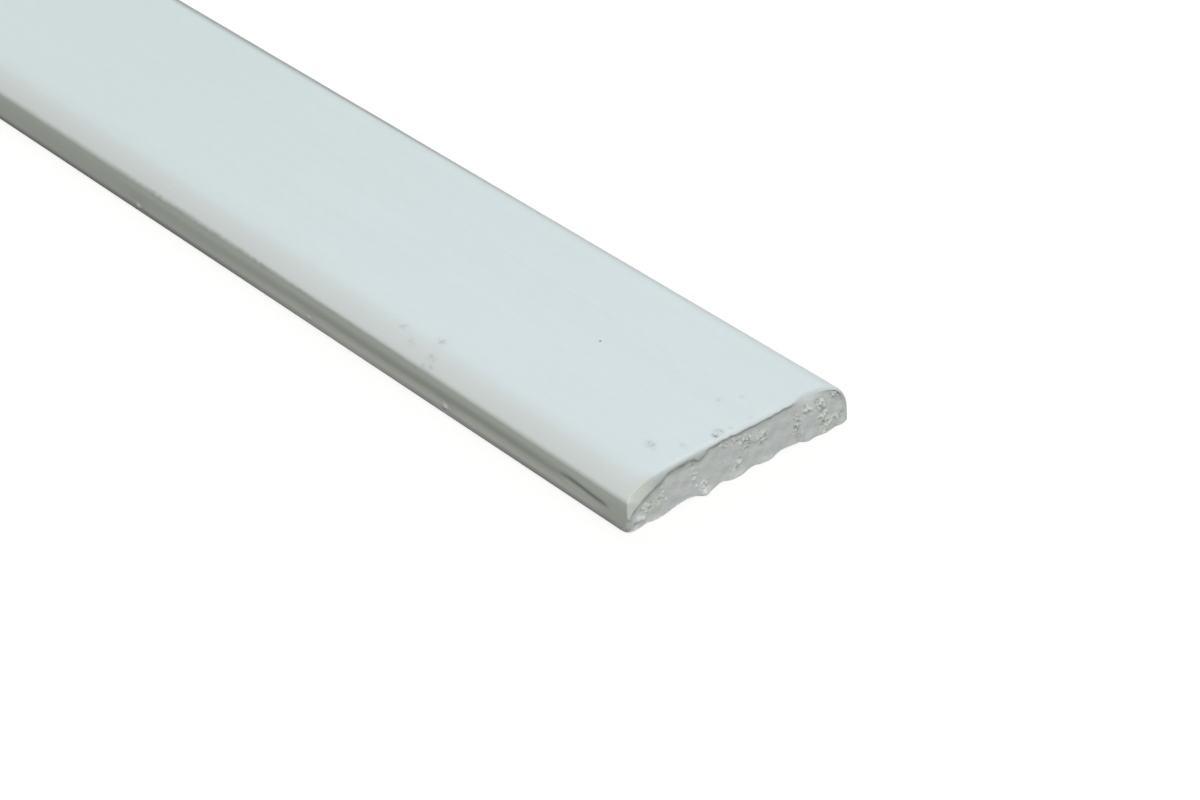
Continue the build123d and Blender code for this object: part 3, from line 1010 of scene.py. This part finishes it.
def white_primer():
    """Principled paint: a white for each part of the board, with painted shade on the sloping and steep
    parts and further along, shaded by clouds, streaks, peel and a long swell, lightened by painted
    highlights and darkened by painted shade, and a bump that adds up peel, grain, tooth and flecks."""
    material, tree = blank_material("white_primer")
    place = node(tree, "TexCoord", {}).outputs["Object"]
    moved = node(tree, "Mapping", {"Vector": place, "Location": -origin}, vector_type="POINT")
    values = {"Vector": moved.outputs[0], "Scale": (1 / MM, 1 / MM, 1 / MM)}
    in_mm = node(tree, "Mapping", values).outputs[0]
    parts = node(tree, "SeparateXYZ", {0: in_mm}).outputs
    along, up = parts[0], parts[2]
    thick, thin_and_shade_share, patch = attribute(tree, "film"), attribute(tree, "thin"), attribute(tree, "crumbs")

    clouds = noise(tree, in_mm, scale=1 / 26, detail=3, stretch=(0.6, 1, 1))
    streaks = noise(tree, in_mm, scale=0.45, detail=3, stretch=(0.012, 1, 1))
    peel = noise(tree, in_mm, scale=0.9, detail=2)
    tooth = noise(tree, in_mm, scale=4.5, detail=1)
    flecks = noise(tree, in_mm, scale=1.25, detail=3)
    # Painted light on the flecks: high ones lighter, low ones darker, following their bump
    fleck_highlights = times(tree, ramp(tree, flecks, start=0.55, end=0.62), patch)
    fleck_shade = times(tree, ramp(tree, flecks, start=0.45, end=0.38), patch)

    shade = spread_of(tree, clouds, low_end=0.985, high_end=1.012)
    shade = times(tree, shade, spread_of(tree, streaks, low_end=0.99, high_end=1.008))
    shade = times(tree, shade, spread_of(tree, peel, low_end=0.992, high_end=1.008))
    swell = math_node(tree, "COSINE", times(tree, along, 2 * math.pi / SWELL_LENGTH), 0.0)
    shade = times(tree, shade, plus(tree, times(tree, swell, SWELL_STRENGTH), 1.0))

    # Painted shade: the white darkens further along the board
    white = blended(tree, ramp(tree, along, start=-60.0, end=-320.0), (*PRIMER, 1), (*FAR_SHADED_PRIMER, 1))
    # Painted shade: darker, warmer white on the sloping and steep parts, and darker still low on the thin
    # edge
    white = blended(tree, ramp(tree, thin_and_shade_share, start=0.1, end=0.5), white, (*SWEEP_SHADED_PRIMER, 1))
    edge = blended(tree, ramp(tree, up, start=3.2, end=4.6), (*LOW_EDGE_SHADED_PRIMER, 1), (*EDGE_SHADED_PRIMER, 1))
    white = blended(tree, ramp(tree, thin_and_shade_share, start=1.1, end=1.9), white, edge)
    tint = spread_of(tree, noise(tree, in_mm, scale=0.16, detail=2), low_end=0, high_end=1)
    cut = blended(tree, tint, (*CUT_PRIMER, 1), (*CUT_GREEN, 1))
    white = blended(tree, ramp(tree, thick, start=0.85, end=1.0), white, cut)
    # Painted highlights: the white attribute and the light flecks mix in the lighter white
    blobs = math_node(tree, "MAXIMUM", attribute(tree, "white"), fleck_highlights)
    white = blended(tree, blobs, white, (*HIGHLIGHT_PRIMER, 1))
    shaded = node(tree, "VectorMath", {0: white, "Scale": shade}, operation="SCALE")

    # Painted shade: the shade attribute and the dark flecks mix in a dark colour
    shade_share = math_node(tree, "MAXIMUM", attribute(tree, "painted_shade"), times(tree, fleck_shade, FLECK_PAINTED_SHADE))
    colour = blended(tree, shade_share, shaded.outputs[0], (*PAINTED_SHADE_COLOUR, 1))
    away = node(tree, "VectorMath", {0: in_mm, 1: SPECK}, operation="DISTANCE").outputs["Value"]
    speck = ramp(tree, away, start=1.2 * SPECK_RADIUS, end=0.6 * SPECK_RADIUS)
    colour = blended(tree, speck, colour, (*SPECK_COLOUR, 1))

    rougher = times(tree, ramp(tree, thin_and_shade_share, start=0.0, end=1.0), THIN_ROUGHER)
    rough = plus(tree, spread_of(tree, clouds, *ROUGHNESS), rougher)
    height = times(tree, peel, plus(tree, times(tree, thick, CUT_PEEL_HEIGHT), PEEL_HEIGHT))
    height = plus(tree, height, times(tree, streaks, GRAIN_HEIGHT))
    height = plus(tree, height, times(tree, tooth, TOOTH_HEIGHT))
    height = plus(tree, height, times(tree, times(tree, flecks, patch), FLECK_HEIGHT))
    bump = node(tree, "Bump", {"Height": height, "Distance": MM, "Strength": 1.0}).outputs[0]
    values = {"Base Color": colour, "Roughness": rough, "Normal": bump, "IOR": PAINT_IOR}
    paint = node(tree, "BsdfPrincipled", values)
    node(tree, "OutputMaterial", {"Surface": paint.outputs[0]})
    return material


mesh.materials.append(white_primer())
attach(board, "root")
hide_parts("architrave")

# The floor.
# A plain white studio floor, just below the board. It bounces a little light on to the thin edge and
# keeps the soft shadow.
FLOOR_REACH = 6.0
FLOOR_GAP = 0.0002
FLOOR_ALBEDO = 0.18
FLOOR_GLOW = 0.85


def seen_directly(tree):
    """1 for rays that the camera, a reflection or clear glass sends out, and 0 for the others."""
    path = node(tree, "LightPath", {})
    seen = math_node(tree, "MAXIMUM", path.outputs["Is Camera Ray"], path.outputs["Is Glossy Ray"])
    return math_node(tree, "MAXIMUM", seen, path.outputs["Is Transmission Ray"])


def floor_paint():
    """A matt pale floor whose white shows to the camera without adding light to the board."""
    material, tree = blank_material("studio_floor")
    matt = node(tree, "BsdfDiffuse", {"Color": (*[FLOOR_ALBEDO] * 3, 1)})
    shown = times(tree, seen_directly(tree), FLOOR_GLOW)
    glow = node(tree, "Emission", {"Color": (1, 1, 1, 1), "Strength": shown})
    both = node(tree, "AddShader", {0: matt.outputs[0], 1: glow.outputs[0]})
    node(tree, "OutputMaterial", {"Surface": both.outputs[0]})
    return material


corners = FLOOR_REACH * np.array([(-1, -1), (1, -1), (1, 1), (-1, 1)])
floor_mesh = bpy.data.meshes.new("floor")
floor_mesh.from_pydata([(x, y, -FLOOR_GAP) for x, y in corners], [], [(0, 1, 2, 3)])
floor_mesh.materials.append(floor_paint())
floor = placed("floor", floor_mesh)

# The light.
# A soft lamp beyond the saw cut, a cooler one behind the board whose sheen lies on the flat of the face,
# and an even pale room round them.
LAMPS = {
    "key": ((0.58, -0.13, 0.80), 1.5, (1.0, 1.0, 0.98), 30.0),
    "sheen": ((-0.60, 0.40, 0.67), 0.45, (0.84, 0.98, 1.14), 40.0),
}
ROOM_COLOUR = (1.04, 1.0, 0.92)
ROOM_STRENGTH = 0.43


def add_lamp(name, direction, strength, colour, angle):
    """A far lamp in that direction, with its strength, its colour and its angle in degrees."""
    lamp = bpy.data.lights.new(name, "SUN")
    lamp.energy = strength
    lamp.color = colour
    lamp.angle = math.radians(angle)
    holder = placed(name, lamp)
    x, y, z = direction
    holder.rotation_euler = (math.atan2(math.hypot(x, y), z), 0, math.atan2(x, -y))


for name, setting in LAMPS.items():
    add_lamp(name, *setting)

room = bpy.data.worlds.new("room")
room.use_nodes = True
room.node_tree.nodes.clear()
ambient = node(room.node_tree, "Background", {0: (*ROOM_COLOUR, 1), 1: ROOM_STRENGTH})
white = node(room.node_tree, "Background", {0: (1, 1, 1, 1), 1: 1.0})
values = {0: seen_directly(room.node_tree), 1: ambient.outputs[0], 2: white.outputs[0]}
choice = node(room.node_tree, "MixShader", values)
node(room.node_tree, "OutputWorld", {"Surface": choice.outputs[0]})
bpy.context.scene.world = room

# The camera.
# It looks down on the saw cut from the corner, with a long lens, from less than a metre away.
CAMERA_PLACE = (1.50172, -0.44430, 0.44906)
CAMERA_TURN = 48.398
CAMERA_DIP = 34.047
CAMERA_LENS = 101.912
CAMERA_SENSOR = 36.0

optics = bpy.data.cameras.new("camera")
optics.sensor_width = CAMERA_SENSOR
optics.lens = CAMERA_LENS
optics.clip_start = 0.05
optics.clip_end = 50.0
camera = placed("camera", optics)
camera.location = CAMERA_PLACE
camera.rotation_euler = (math.radians(90 - CAMERA_DIP), 0, math.radians(CAMERA_TURN))
bpy.context.scene.camera = camera
bpy.context.scene.view_settings.view_transform = "Standard"
